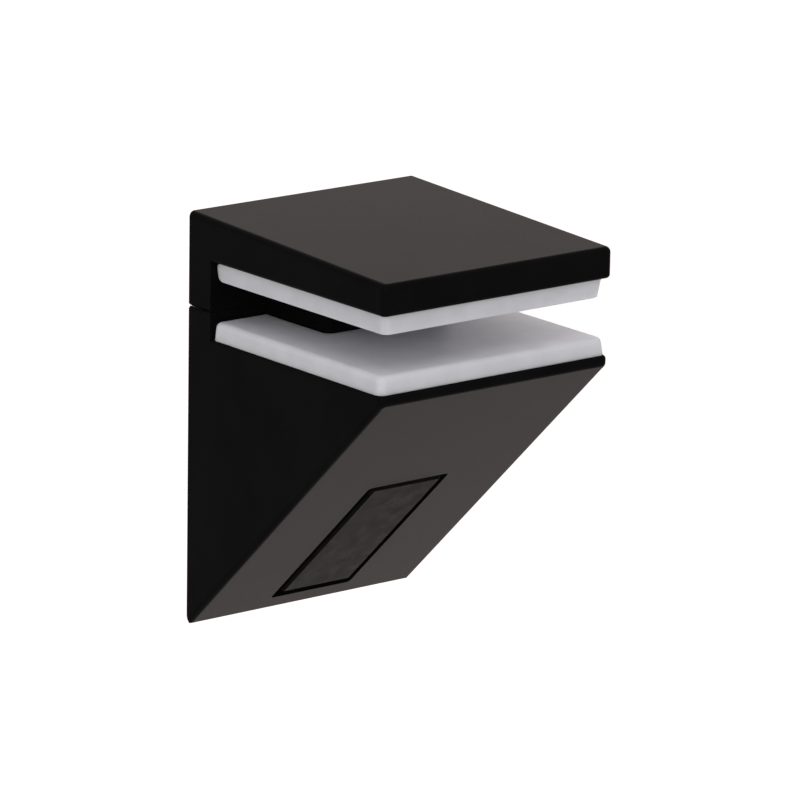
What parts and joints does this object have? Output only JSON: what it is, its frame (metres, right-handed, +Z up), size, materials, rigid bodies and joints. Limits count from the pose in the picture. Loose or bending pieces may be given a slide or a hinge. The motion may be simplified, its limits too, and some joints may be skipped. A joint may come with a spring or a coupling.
{
  "type": "clamp shelf bracket",
  "caption": "Wedge-shaped wall bracket with a sliding jaw and plastic pads that clamp the rear edge of a shelf, tightened by a screw behind a cover cap.",
  "frame": {"origin": "on the axis of the wall screw hole, in the back plane that lies on the wall", "axes": "+Z up, the back plane at Y = 0 and the front towards -Y, +X across the width"},
  "size_m": [0.053, 0.058, 0.0792],
  "materials": {
    "painted_casting": "satin",
    "milky_plastic": "satin",
    "black_plastic": "matte",
    "screw_steel": "satin",
    "spring_steel": "satin"
  },
  "bodies": {
    "body": {"lower_body": "painted_casting", "lower_pad": "milky_plastic"},
    "jaw": {"upper_jaw": "painted_casting", "upper_pad": "milky_plastic"},
    "screw": {"clamp_screw": "screw_steel", "retaining_ring": "spring_steel"},
    "cap": {"cover_cap": "black_plastic"}
  },
  "joints": [
    {"name": "jaw_slide", "type": "slide", "parent": "body", "child": "jaw", "axis": [0, 0, 1], "range_m": [0, 0.0325]},
    {"name": "screw_turn", "type": "hinge", "parent": "body", "child": "screw", "pos_m": [0, -0.0126, 0], "axis": [0, 0, -1], "range_deg": [0, 11701]},
    {"name": "cap_pull", "type": "slide", "parent": "body", "child": "cap", "axis": [0, -0.6905, -0.7233], "range_m": [0, 0.04]}
  ],
  "couplings": [
    {"joint": "screw_turn", "follows": "jaw_slide", "rad_per_m": 6283.2}
  ]
}
